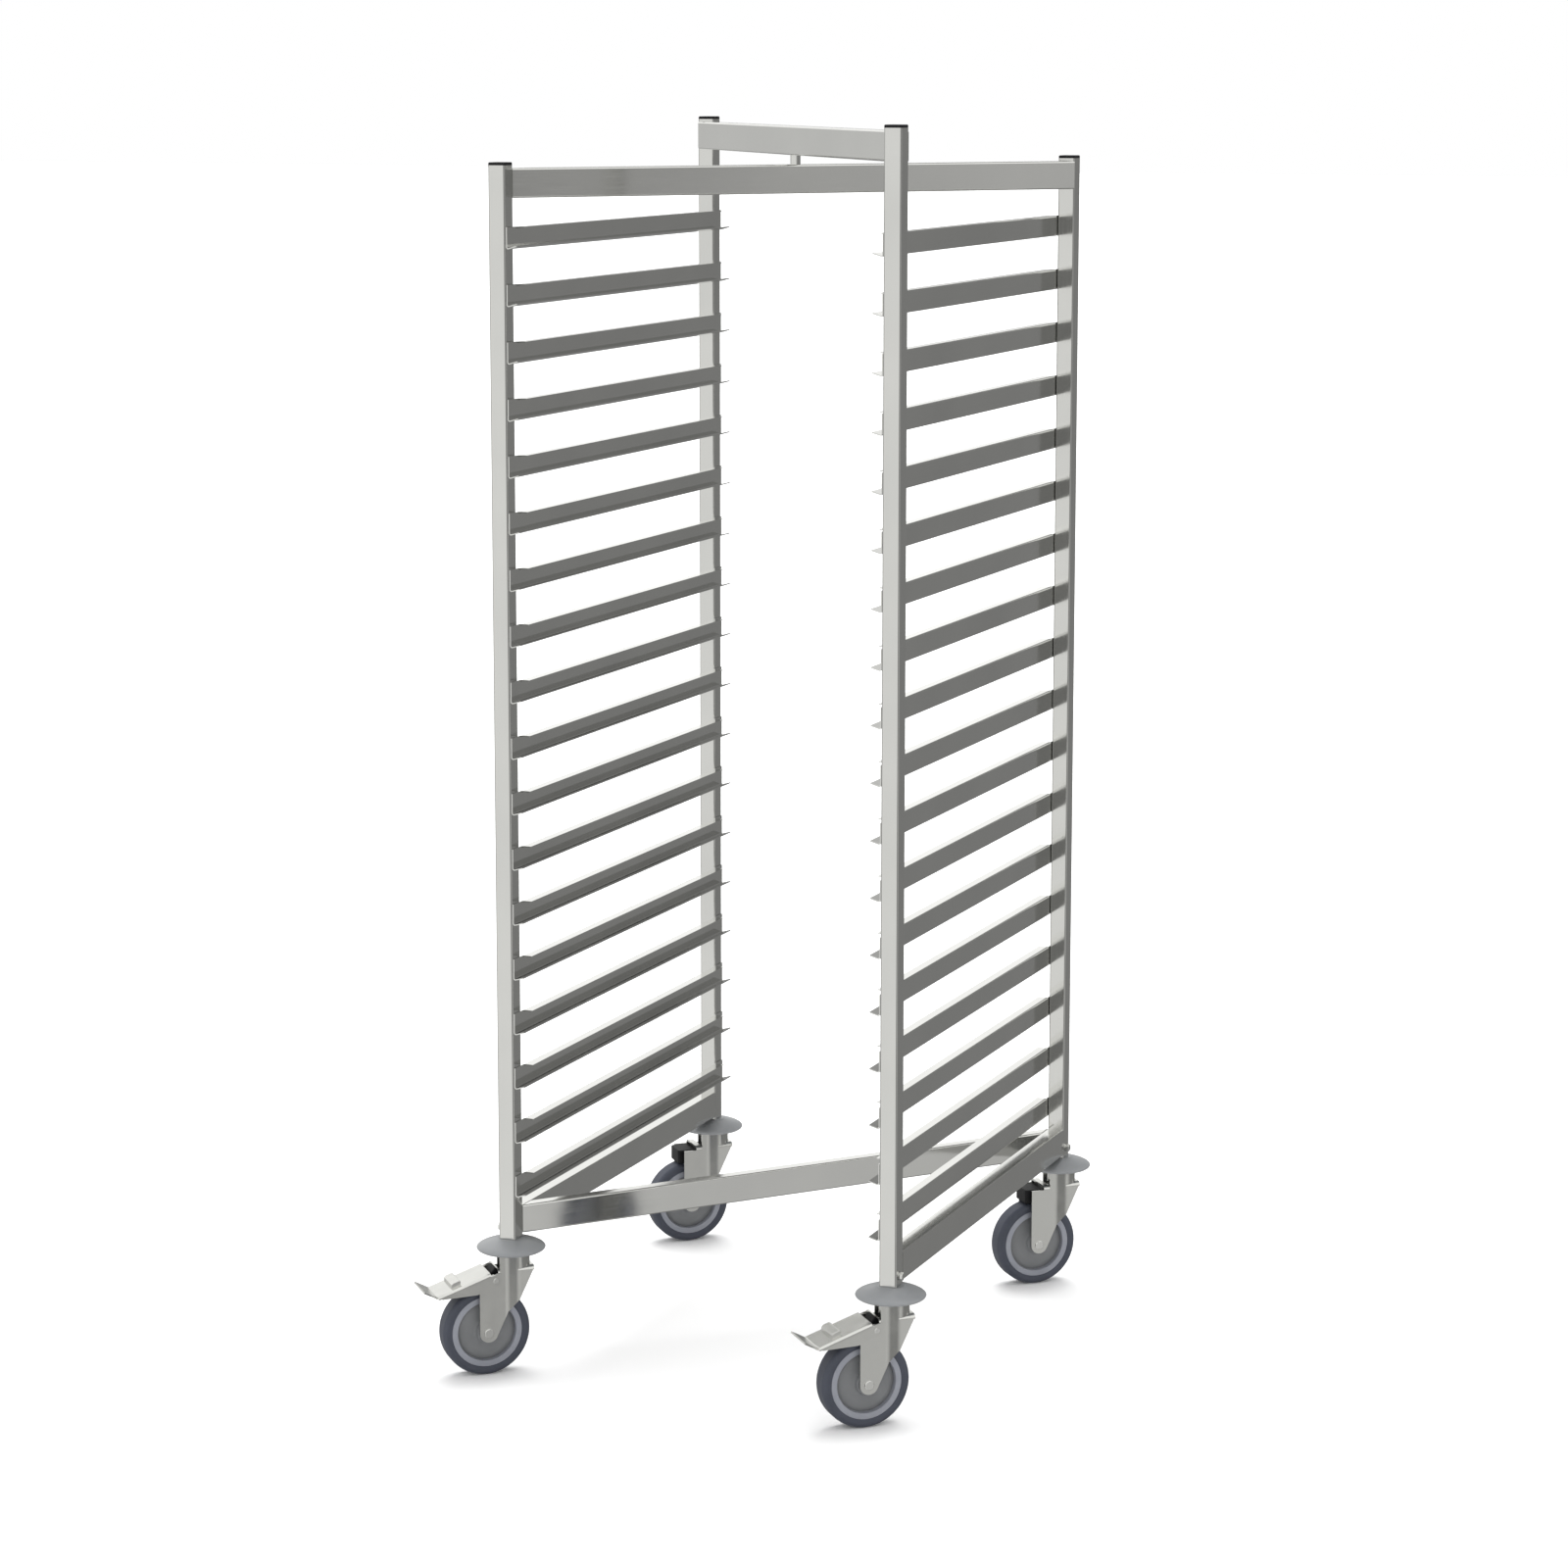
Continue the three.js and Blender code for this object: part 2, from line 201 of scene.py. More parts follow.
def rounded_rectangle(width, height, radius):
    """Outline of a rounded rectangle about the origin, counter-clockwise."""
    points = []
    for quarter, (sx, sy) in enumerate(((1, 1), (-1, 1), (-1, -1), (1, -1))):
        x, y = sx * (width / 2 - radius), sy * (height / 2 - radius)
        for step in range(ARC_STEPS + 1):
            angle = math.pi / 2 * (quarter + step / ARC_STEPS)
            points.append((x + radius * math.cos(angle), y + radius * math.sin(angle)))
    return points


def rounded_path(points, radius):
    """An open polyline with each inner corner turned into an arc of that radius."""
    points = [Vector(p) for p in points]
    path = [points[0]]
    for before, corner, after in zip(points, points[1:], points[2:]):
        back, on = (before - corner).normalized(), (after - corner).normalized()
        turn = math.pi - back.angle(on)
        reach = radius * math.tan(turn / 2)
        centre = corner + (back + on).normalized() * (radius / math.cos(turn / 2))
        start, end = corner + back * reach - centre, corner + on * reach - centre
        for step in range(ARC_STEPS + 1):
            path.append(centre + start.lerp(end, step / ARC_STEPS).normalized() * radius)
    path.append(points[-1])
    return path


def ribbon(path, thickness):
    """Closed outline of a strip of that thickness along an open path."""
    left, right = [], []
    for i, point in enumerate(path):
        before = (point - path[i - 1]).normalized() if i else None
        after = (path[i + 1] - point).normalized() if i + 1 < len(path) else None
        along = ((before or after) + (after or before)).normalized()
        side = Vector((-along.y, along.x)) * (thickness / 2)
        side /= along.dot(before or after)
        left.append(point + side)
        right.append(point - side)
    return left + right[::-1]


def tidy(mesh):
    """Joins doubled points, drops empty faces and turns the faces outwards."""
    shape = bmesh.new()
    shape.from_mesh(mesh)
    bmesh.ops.remove_doubles(shape, verts=shape.verts, dist=WELD)
    bmesh.ops.dissolve_degenerate(shape, edges=shape.edges, dist=WELD)
    bmesh.ops.recalc_face_normals(shape, faces=shape.faces)
    shape.to_mesh(mesh)
    shape.free()


def skin(rings, loop=False):
    """(points, faces) of a skin through closed rings of equally many points: back to the first ring
    if loop, else with its two ends filled."""
    size = len(rings[0])
    points = [p for ring in rings for p in ring]
    faces = []
    pairs = list(zip(range(len(rings)), range(1, len(rings))))
    if loop:
        pairs.append((len(rings) - 1, 0))
    for a, b in pairs:
        for i in range(size):
            j = (i + 1) % size
            faces.append((a * size + i, a * size + j, b * size + j, b * size + i))
    if not loop:
        faces.append(tuple(range(size))[::-1])
        faces.append(tuple((len(rings) - 1) * size + i for i in range(size)))
    return points, faces


def piece(name, shape, material, body, replaces=(), bevel=0.0, place=None, angle=35,
          sheet=0.0):
    """Adds a mesh object from (points, faces), smooth up to that angle, riding on a CAD body. A
    surface given a sheet thickness grows half of it to each side. Large flats keep their own
    normals."""
    mesh = bpy.data.meshes.new(name)
    mesh.from_pydata(shape[0], [], shape[1])
    tidy(mesh)
    if place is not None:
        mesh.transform(place)
    mesh.shade_smooth()
    mesh.set_sharp_from_angle(angle=math.radians(angle))
    mesh.materials.append(material)
    made = bpy.data.objects.new(name, mesh)
    bpy.context.scene.collection.objects.link(made)
    if sheet:
        thick = made.modifiers.new("sheet", "SOLIDIFY")
        thick.thickness = sheet
        thick.offset = 0
        thick.use_even_offset = True
    if bevel:
        soft = made.modifiers.new("edges", "BEVEL")
        soft.width = bevel
        soft.segments = 2
        soft.limit_method = "ANGLE"
        soft.angle_limit = math.radians(50)
    flats = made.modifiers.new("flats", "WEIGHTED_NORMAL")
    flats.mode = "FACE_AREA"
    flats.weight = 100
    flats.keep_sharp = True
    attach(made, body)
    if replaces:
        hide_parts(*replaces)


def merged(*shapes):
    """Several (points, faces) as one."""
    points, faces = [], []
    for some_points, some_faces in shapes:
        start = len(points)
        points += [Vector(p) for p in some_points]
        faces += [tuple(start + i for i in face) for face in some_faces]
    return points, faces


def moved(shape, matrix):
    return [matrix @ Vector(p) for p in shape[0]], shape[1]


def metres(section):
    """A section's pairs, from millimetres."""
    return [(a * MM, b * MM) for a, b in section]


def on_line(line, u):
    """Height of a polyline, given in millimetres, at u."""
    for (u0, z0), (u1, z1) in zip(line, line[1:]):
        if u <= u1 * MM + WELD * MM:
            return (z0 + (z1 - z0) * (u / MM - u0) / (u1 - u0)) * MM
    return line[-1][1] * MM


def turned(section, segments, hollow=False):
    """A solid of revolution about Z from (radius, z) points: a ring if hollow, else closed at Z."""
    rings = []
    turn = [2 * math.pi * i / segments for i in range(segments)]
    for radius, z in section:
        radius = max(radius, 0.1 * WELD)
        rings.append([Vector((radius * math.cos(a), radius * math.sin(a), z)) for a in turn])
    return skin(rings, loop=hollow)


def prism(outline, low, high, along_y=False):
    """An (x, y) outline made thick along Z, or an (x, z) outline made thick along Y."""
    def at(a, b, depth):
        return Vector((a, depth, b) if along_y else (a, b, depth))
    return skin([[at(a, b, depth) for a, b in outline] for depth in (low, high)])


# ---------------------------------------------------------------- frame of tubes


def tube_skin(outer_rings, inner_rings):
    """A tube's skin: out along the outer rings, and back along the inner ones."""
    return skin(outer_rings + inner_rings[::-1], loop=True)


def upright_tube(low, high):
    centre = (low + high) / 2
    rings = []
    for inset, radius in ((0, TUBE_CORNER), (TUBE_WALL, TUBE_CORNER - TUBE_WALL)):
        outline = rounded_rectangle(high.x - low.x - 2 * inset, high.y - low.y - 2 * inset, radius)
        rings.append([[Vector((centre.x + x, centre.y + y, z)) for x, y in outline]
                      for z in (low.z, high.z)])
    return tube_skin(*rings)


def level_tube(start, heading, width, height, limits):
    """A tube along a level heading through start, cut at each end by the first of the limits,
    which are (axis, low, high)."""
    side = Vector((heading.y, -heading.x, 0))
    rings = []
    for inset, radius in ((0, TUBE_CORNER), (TUBE_WALL, TUBE_CORNER - TUBE_WALL)):
        outline = rounded_rectangle(width - 2 * inset, height - 2 * inset, radius)
        near, far = [], []
        for across, up in outline:
            point = start + side * across + Vector((0, 0, up))
            steps = [[(edge - point[axis]) / heading[axis] for edge in (low, high)]
                     for axis, low, high in limits]
            near.append(point + heading * max(min(pair) for pair in steps))
            far.append(point + heading * min(max(pair) for pair in steps))
        rings.append([near, far])
    return tube_skin(*rings)


for corner, (low, high) in POSTS.items():
    piece(f"{corner}_post_tube", upright_tube(low, high), STEEL_Z, "frame",
          [f"{corner}_post"])

for side in ("left", "right"):
    low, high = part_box(f"{side}_bottom_rail")
    middle = (low + high) / 2
    shape = level_tube(middle, Vector((0, 1, 0)), high.x - low.x, high.z - low.z,
                       [(1, INNER_FRONT, INNER_BACK)])
    piece(f"{side}_bottom_rail_tube", shape, STEEL_Y, "frame",
          [f"{side}_bottom_rail"])

DIAGONAL_WIDTH = 19 * MM
FLUSH_Y = (1, INNER_FRONT, INNER_BACK)
for name, rise, cuts in (("bottom_diagonal_rail", 1, [FLUSH_Y, (0, INNER_LEFT, INNER_RIGHT)]),
                         ("lower_top_rail", 1, [FLUSH_Y]), ("upper_top_rail", -1, [FLUSH_Y])):
    low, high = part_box(name)
    heading = Vector((rise * ACROSS, ALONG, 0)).normalized()
    shape = level_tube((low + high) / 2, heading, DIAGONAL_WIDTH, high.z - low.z, cuts)
    steel = STEEL_RISING if rise > 0 else STEEL_FALLING
    piece(f"{name}_tube", shape, steel, "frame", [name])

low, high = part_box("top_rail_spacer")
low.z -= JOINT_GAP
high.z += JOINT_GAP
piece("top_rail_spacer_tube", upright_tube(low, high), STEEL_Z, "frame",
      ["top_rail_spacer"])

# ---------------------------------------------------------------- post caps, rivets and clamp bolts

# inset from the post's sides and rise above its end, in millimetres
CAP_PROFILE = ((0.2, 0), (0, 0.2), (0, 2.6), (0.35, 3.4), (1.0, 3.9), (2.4, 4.0))


def post_cap(low, high):
    """A plug of black plastic with softened edges on a post's upper end."""
    centre = (low + high) / 2
    rings = []
    for inset, rise in metres(CAP_PROFILE):
        side = POST_SIDE - 2 * inset
        outline = rounded_rectangle(side, side, TUBE_CORNER - 0.6 * inset)
        rings.append([Vector((centre.x + x, centre.y + y, high.z + rise)) for x, y in outline])
    return skin(rings)


def hexagon(across_flats, low, high):
    """A hexagonal head about Z, its upper edge turned down at the corners."""
    radius = across_flats / math.sqrt(3)
    turn = [math.pi / 3 * i for i in range(6)]
    rings = []
    for share, z in ((1, low), (1, high - 0.12 * (high - low)), (0.88, high)):
        around = radius * share
        rings.append([Vector((around * math.cos(a), around * math.sin(a), z)) for a in turn])
    return skin(rings)


def clamp_bolt():
    """Washer and hexagon head, standing on the plane z = 0."""
    washer = turned(metres([(0, 0), (5.8, 0), (6.2, 0.3), (6.2, 1), (0, 1.3)]), 32)
    return merged(washer, hexagon(10 * MM, 1.3 * MM, 5.6 * MM))


CLAMP_BOLT_HEIGHT = 204 * MM
RIVET_HEIGHT = 247 * MM
RIVET = ((0, -0.5), (2.6, -0.5), (2.5, 0.5), (1.8, 1.1), (0.9, 1.4), (0, 1.5))
rivet = turned(metres(RIVET), 24)
for corner, (low, high) in POSTS.items():
    piece(f"{corner}_post_cap", post_cap(low, high), BLACK, "frame")
    on_left = corner.endswith("left")
    middle_y = (low.y + high.y) / 2
    turn_out = Matrix.Rotation((-1 if on_left else 1) * math.pi / 2, 4, "Y")
    outer_x, inner_x = (low.x, high.x) if on_left else (high.x, low.x)
    place = Matrix.Translation((outer_x, middle_y, CLAMP_BOLT_HEIGHT)) @ turn_out
    piece(f"{corner}_clamp_bolt", clamp_bolt(), BOLT, "frame",
          place=place, bevel=0.2 * MM)
    place = Matrix.Translation((inner_x, middle_y, RIVET_HEIGHT)) @ turn_out.inverted()
    piece(f"{corner}_rivet", rivet, BOLT, "frame", place=place)

# ---------------------------------------------------------------- runners

FLANGE_START = 5 * MM  # from the posts' inner ends (the CAD model's flange starts at 30 mm)
FLANGE = 15 * MM  # width of the top flange, from the web's outer face
LEDGE_RISE = 4 * MM  # the ledge climbs this much towards its tip
BEND = 2.2 * MM  # middle radius of the folds


def runner_shape(low, high, mirrored):
    """A folded runner inside its CAD box: an upright web, with a flange along its top between the
    posts and a wider ledge along its bottom, both turned inwards."""
    web = SHEET / 2
    reach = high.x - low.x
    top, bottom = high.z - SHEET / 2, low.z + SHEET / 2
    fold = [(FLANGE, top), (web, top), (web, bottom - 0.1 * MM),
            (reach - 0.2 * MM, bottom + LEDGE_RISE)]
    path = rounded_path(fold, BEND)
    folded = ribbon(path, SHEET)
    flat = []  # the section at the runner's ends, where the web goes straight up
    for number, (x, z) in enumerate(folded):
        inside = number < len(path) or x > FLANGE - SHEET
        flat.append((SHEET if inside else 0, z) if z > top - 2 * BEND else (x, z))
    first, last = INNER_FRONT + FLANGE_START, INNER_BACK - FLANGE_START
    rings = []
    for y, section in ((low.y, flat), (first, flat), (first, folded), (last, folded), (last, flat),
                       (high.y, flat)):
        rings.append([Vector((high.x - x if mirrored else low.x + x, y, z)) for x, z in section])
    return skin(rings)


for level in range(1, LEVELS + 1):
    for side in ("left", "right"):
        node = f"{side}_runner_{level:02d}"
        shape = runner_shape(*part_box(node), side == "right")
        piece(f"{node}_sheet", shape, STEEL_Y, "frame", [node], angle=20,
              bevel=0.45 * MM)

# ---------------------------------------------------------------- casters

WHEEL_RADIUS = 62.5 * MM
TYRE_HALF_WIDTH = 16 * MM
TYRE_SHOULDER = 7 * MM
SHOULDER_STEPS = 8
LEG_SHEET = 2.5 * MM
CROWN_BEND = 5 * MM
CROWN_MIDDLE = 151.2 * MM
CHEEK_TOP = 170.5 * MM
CHEEK = (-4 * MM, 23.5 * MM)  # the legs rise beside the head between these
FAR_CHEEK_END = 14 * MM
LEADING_EDGE = -28  # of the legs, in millimetres along the trail
STATIONS_END = 32  # of the legs' evenly spaced part, in millimetres along the trail
LEG_ROUNDING = 13 * MM  # round the axle, at a leg's lower end
TOP_BREAK = 33 * MM  # where a braked fork's legs begin to fall away
BRAKED_FORK = (26 * MM, 0.56)  # where the crown ends, and the slope of the legs' tops
PLAIN_FORK = (33 * MM, 0)
TRAIL = 40 * MM
AXLE_HEIGHT = WHEEL_RADIUS
HEAD_SHIFT = -5 * MM  # of the head's middle, along the trail
# plan of a leg's sheet, in millimetres along the trail and away from the wheel's middle plane
LEG_PLAN = ((-28, 17.9), (-4, 18.8), (13, 23.6), (54, 23.75))
PLAN_SMOOTHING = (-3, -1.5, 0, 1.5, 3)  # the plan's corners are averaged over these
# lower edge of a leg down to its round end, in millimetres along the trail and up
LEG_FOOT_LINE = ((-28, 150), (-6, 105), (12, 91), (28, 57.5))


def leg_middle(u):
    """Distance of a leg's sheet from the wheel's middle plane, at u along the trail."""
    def sharp(at):
        for (u0, v0), (u1, v1) in zip(LEG_PLAN, LEG_PLAN[1:]):
            if at <= u1:
                break
        return v0 + (v1 - v0) * (at - u0) / (u1 - u0)
    near = [sharp(u / MM + offset) for offset in PLAN_SMOOTHING]
    return sum(near) / len(near) * MM


def leg_foot(u):
    """Height of a leg's lower edge at u along the trail."""
    if u <= LEG_FOOT_LINE[-1][0] * MM:
        return on_line(LEG_FOOT_LINE, u)
    return AXLE_HEIGHT - math.sqrt(max(LEG_ROUNDING ** 2 - (u - TRAIL) ** 2, 0))


def grid(rows):
    """(points, faces) of an open surface through rows of equally many points."""
    wide = len(rows[0])
    points = [p for row in rows for p in row]
    faces = []
    for r in range(len(rows) - 1):
        for c in range(wide - 1):
            a = r * wide + c
            faces.append((a, a + 1, a + wide + 1, a + wide))
    return points, faces


def leg_wall(side, stations, foot_at, top_at, steps):
    """A side's sheet between two heights that depend on the place along the trail."""
    rows = []
    for u in stations:
        foot, rise = foot_at(u), top_at(u) - foot_at(u)
        heights = [foot + rise * k / steps for k in range(steps + 1)]
        rows.append([Vector((u, side * leg_middle(u), z)) for z in heights])
    return grid(rows)


def fork_shape(crown_end, fall):
    """Mid-surface of the pressed fork: two legs, and the crown that joins them over the wheel.
    fall is the slope of the legs' tops behind the crown, where a pedal needs room."""
    join = CROWN_MIDDLE - CROWN_BEND

    def leg_low(u):
        return min(leg_foot(u), join - 0.2 * MM)

    def leg_top(u):
        return join - fall * max(u - TOP_BREAK, 0)

    stations = [u * MM for u in range(LEADING_EDGE, STATIONS_END + 1)]
    stations = sorted(set(stations) | set(CHEEK) | {FAR_CHEEK_END, crown_end})
    tail = [TRAIL + LEG_ROUNDING * math.sin(math.pi / 2 * (-0.5 + 1.5 * i / 14)) for i in range(15)]
    full = stations + [u for u in tail if u > stations[-1] + 0.3 * MM]
    parts = []
    for side, cheek_end in ((1, CHEEK[1]), (-1, FAR_CHEEK_END)):
        parts.append(leg_wall(side, full, leg_low, leg_top, 10))
        cheek = [u for u in stations if CHEEK[0] <= u <= cheek_end]
        parts.append(leg_wall(side, cheek, lambda u: join, lambda u: CHEEK_TOP, 4))
    arc = [math.pi / 2 * k / ARC_STEPS for k in range(ARC_STEPS + 1)]
    for first, last in ((stations[0], CHEEK[0]), (CHEEK[1], crown_end)):
        rows = []
        for u in (u for u in stations if first <= u <= last):
            half = leg_middle(u) - CROWN_BEND
            near = [(half + CROWN_BEND * math.cos(a), join + CROWN_BEND * math.sin(a))
                    for a in arc]
            section = near + [(-v, z) for v, z in near[::-1]]
            rows.append([Vector((u, v, z)) for v, z in section])
        parts.append(grid(rows))
    return merged(*parts)


def along_axle(shape):
    """Turns a shape made about Z so that it lies about the axle, along the caster's Y."""
    lift = Matrix.Translation((TRAIL, 0, AXLE_HEIGHT))
    return moved(shape, lift @ Matrix.Rotation(-math.pi / 2, 4, "X"))


def both_faces(half):
    """A hollow section, symmetric about the wheel's middle plane, from its half in millimetres."""
    section = metres(half)
    return section + [(r, -w) for r, w in section[::-1]]


def tyre_shoulder():
    """Rounded outer corner of a tyre, from its side to its tread, in millimetres."""
    points = []
    for i in range(SHOULDER_STEPS + 1):
        a = math.pi / 2 * i / SHOULDER_STEPS
        radius = WHEEL_RADIUS - TYRE_SHOULDER * (1 - math.sin(a))
        width = TYRE_HALF_WIDTH - TYRE_SHOULDER * (1 - math.cos(a))
        points.append((radius / MM, width / MM))
    return points


# halves of the wheel's sections, as radius and distance from its middle plane in millimetres
TYRE = [(43.5, 13.2), (46, 13.6), (49.8, 14.2), (50.6, 15.4), *tyre_shoulder()]
RIM = [(41.4, 7.5), (41.6, 13.6), (42.2, 14.7), (43.2, 15.1), (48.8, 15.2), (50.2, 14.6),
       (50.8, 12.5)]
WHEEL_WEB = [(11, 18.6), (13.4, 18.6), (14.6, 17.8), (16.4, 12.5), (20, 10.4), (28, 9.6), (36, 9.0),
             (39.2, 7.6), (42, 7.2)]
BEARING = [(6.4, 18.9), (9.6, 18.9), (10.4, 18.4), (11.2, 18.0)]


def add_wheel(corner, place):
    body = f"{corner}_wheel_body"
    pieces = (
        ("tyre", TYRE, RUBBER, "wheel_rubber", [f"{corner}_wheel"]),
        ("rim", RIM, RIM_LIGHT, "grey_plastic", []),
        ("wheel_web", WHEEL_WEB, RIM_WEB, "grey_plastic", []),
        ("bearing", BEARING, BOLT, "pressed_steel", []),
    )
    for name, half, material, slot, stands_for in pieces:
        shape = along_axle(turned(both_faces(half), 96, hollow=True))
        piece(f"{corner}_{name}", shape, material, body, stands_for, place=place, angle=30)


# sections of the caster's round parts, as radius and height in millimetres, and outlines of the
# black blocks between the legs, over the wheel and under the crown: partly black parts, partly
# painted shade that fills the dark hollow there
HEAD = ((14, 149.8), (20.3, 149.8), (20.8, 150.6), (20.8, 167.2), (19.6, 169.6), (17, 170.4),
        (14, 170.4))
SEAL = ((8, 168.8), (16.5, 168.8), (16.5, 171.6), (8, 171.6))
AXLE_SLEEVE = ((4, 22.4), (6.2, 22.4))
AXLE_HEAD = ((0, 23), (6.4, 23), (6.4, 26.1), (5.9, 26.6), (0, 26.6))
AXLE_SPACER = ((6.5, 18.9), (11.6, 18.9), (11.6, 22.4), (6.5, 22.4))
WEDGE = ((16, 140), (17, 145), (26.5, 152), (28.5, 152), (38, 138), (38, 130), (30, 127))
WEDGE_HALF_WIDTH = 13 * MM
BLOCK_SIZE = (26 * MM, 38 * MM, 4 * MM)  # along the trail, across it, and the corners' radius
BLOCK_HEIGHTS = (126 * MM, 146.5 * MM)
BLOCK_MIDDLE = 47.5 * MM  # along the trail


def add_fork(corner, place):
    body = f"{corner}_swivel"
    shape = fork_shape(*(BRAKED_FORK if corner in BRAKED else PLAIN_FORK))
    piece(f"{corner}_fork_pressing", shape, PRESSED, body, [f"{corner}_fork"],
          place=place, sheet=LEG_SHEET, bevel=0.5 * MM)
    head = moved(turned(metres(HEAD), 72, hollow=True), Matrix.Translation((HEAD_SHIFT, 0, 0)))
    piece(f"{corner}_swivel_head", head, PRESSED, body, place=place)
    seal = turned(metres(SEAL), 64, hollow=True)
    piece(f"{corner}_dust_seal", seal, BLACK, body, place=place)
    # a black block over the wheel and under the crown: partly a black part, partly painted shade of
    # that hollow
    if corner in BRAKED:
        block = prism(metres(WEDGE), -WEDGE_HALF_WIDTH, WEDGE_HALF_WIDTH, along_y=True)
    else:
        block = prism(rounded_rectangle(*BLOCK_SIZE), *BLOCK_HEIGHTS)
        block = moved(block, Matrix.Translation((BLOCK_MIDDLE, 0, 0)))
    piece(f"{corner}_block_and_painted_shade", block, BLACK, body, bevel=1 * MM, place=place)
    sleeve = turned(both_faces(AXLE_SLEEVE), 40, hollow=True)
    piece(f"{corner}_axle_sleeve", along_axle(sleeve), BOLT, body, place=place)
    bolt_head = turned(metres(AXLE_HEAD), 48)
    spacer = turned(metres(AXLE_SPACER), 48, hollow=True)
    for side, flip in (("near", Matrix.Identity(4)), ("far", Matrix.Rotation(math.pi, 4, "X"))):
        piece(f"{corner}_axle_head_{side}", along_axle(moved(bolt_head, flip)), BOLT, body,
              place=place)
        piece(f"{corner}_axle_spacer_{side}", along_axle(moved(spacer, flip)), RIM_WEB, body,
              place=place)


# ---- brake pedal: skirts either side of the fork, and a foot plate over the wheel

SKIRT_MIDDLE = 27 * MM
PEDAL_SHEET = 2.4 * MM
PEDAL_BEND = 3 * MM
# lines and stations of the pedal, in millimetres along the trail and up
PLATE_START = 36
PLATE_LINE = ((22, 150), (24, 152), (112, 122.2), (114.5, 121.9), (132.5, 131.2))
SKIRT_LINE = ((22, 131), (38, 129), (56, 120.6), (107, 119), (112, 120.4))
SKIRT_STATIONS = [22 + 3 * i for i in range(31)]
PLATE_STATIONS = [u for u in SKIRT_STATIONS if u > PLATE_START]
PLATE_STATIONS += [113, 114.5, 117, 120, 124, 128, 132.5]
LIP_START = 111  # the plate's rounded edges flatten out over LIP_RUN from here
LIP_RUN = 8
RIB = ((79, 132), (79, 140.6), (81, 141.8), (90, 138.6), (92, 136.2), (92, 128))
RIB_HALF_WIDTH = 20 * MM
PIN = ((0, -28.8), (3.6, -28.8), (4, -28.4), (4, 28.4), (3.6, 28.8), (0, 28.8))
PIVOT = (30 * MM, 0, 138 * MM)


def pedal_shape():
    """Mid-surface of the pedal: two skirts, and the plate with its lip between them."""
    parts = []
    for side in (1, -1):
        rows = []
        for u in SKIRT_STATIONS:
            join = on_line(PLATE_LINE, u * MM) - PEDAL_BEND
            foot = min(on_line(SKIRT_LINE, u * MM), join - 0.1 * MM)
            heights = [foot + (join - foot) * k / 5 for k in range(6)]
            rows.append([Vector((u * MM, side * SKIRT_MIDDLE, z)) for z in heights])
        parts.append(grid(rows))
    arc = [math.pi / 2 * k / 5 for k in range(6)]
    half = SKIRT_MIDDLE - PEDAL_BEND
    rows = []
    for u in PLATE_STATIONS:
        top = on_line(PLATE_LINE, u * MM)
        droop = PEDAL_BEND * (1 - 0.9 * min(max((u - LIP_START) / LIP_RUN, 0), 1))
        near = [(half + PEDAL_BEND * math.cos(a), top - droop * (1 - math.sin(a))) for a in arc]
        middle = [(half * k / 3, top) for k in (2, 1, 0, -1, -2)]
        section = near + middle + [(-v, z) for v, z in near[::-1]]
        rows.append([Vector((u * MM, v, z)) for v, z in section])
    parts.append(grid(rows))
    return merged(*parts)


def add_pedal(corner, place):
    body = f"{corner}_brake"
    piece(f"{corner}_pedal_pressing", pedal_shape(), PRESSED, body,
          [f"{corner}_brake_pedal"], place=place, angle=16, sheet=PEDAL_SHEET, bevel=0.25 * MM)
    rib = prism(metres(RIB), -RIB_HALF_WIDTH, RIB_HALF_WIDTH, along_y=True)
    piece(f"{corner}_pedal_rib", rib, PRESSED, body, bevel=0.8 * MM, place=place)
    to_pivot = Matrix.Translation(PIVOT) @ Matrix.Rotation(-math.pi / 2, 4, "X")
    pin = moved(turned(metres(PIN), 40), to_pivot)
    piece(f"{corner}_pedal_pin", pin, BOLT, body, place=place)


def bumper_shape(low, high):
    """Soft grey disc under a post, domed above and below, with a bore for the kingpin."""
    radius = (high.x - low.x) / 2 / MM
    base = low.z / MM
    section = [(8, 0), (30, 0), (41, 0.8), (45, 1.8), (47, 3.2), (radius, 5), (47.4, 6.6),
               (45.6, 8.2), (42, 10.2), (36, 12.6), (29, 14.8), (22, 16.6), (19.5, 17.4),
               (18.4, 18), (8, 18)]
    return turned(metres([(r, base + z) for r, z in section]), 112, hollow=True)


for corner in CORNERS:
    swivel = Vector(JOINTS[f"{corner}_swivel_turn"]["pos_m"])
    hub = Vector(JOINTS[f"{corner}_wheel_spin"]["pos_m"])
    heading = math.atan2(hub.y - swivel.y, hub.x - swivel.x)
    post_middle = Matrix.Translation((swivel.x, swivel.y, 0))
    place = post_middle @ Matrix.Rotation(heading, 4, "Z")
    add_wheel(corner, place)
    add_fork(corner, place)
    if corner in BRAKED:
        add_pedal(corner, place)
    disc = bumper_shape(*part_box(f"{corner}_bumper"))
    piece(f"{corner}_bumper_disc", disc, BUMPER_GREY, "frame", [f"{corner}_bumper"],
          place=post_middle)

# ---------------------------------------------------------------- floor, light and camera

FLOOR_HALF = 60.0
FLOOR_TONE = 0.96
floor_look = Nodes("pale_floor")
floor_look.set(Base_Color=(FLOOR_TONE, FLOOR_TONE, FLOOR_TONE, 1), Roughness=0.9)
floor_corners = [(-FLOOR_HALF, -FLOOR_HALF, 0), (FLOOR_HALF, -FLOOR_HALF, 0),
                 (FLOOR_HALF, FLOOR_HALF, 0), (-FLOOR_HALF, FLOOR_HALF, 0)]
floor_mesh = bpy.data.meshes.new("floor")
floor_mesh.from_pydata(floor_corners, [], [(0, 1, 2, 3)])
floor_mesh.materials.append(floor_look.material)
floor = bpy.data.objects.new("floor", floor_mesh)
bpy.context.scene.collection.objects.link(floor)
floor.visible_glossy = False

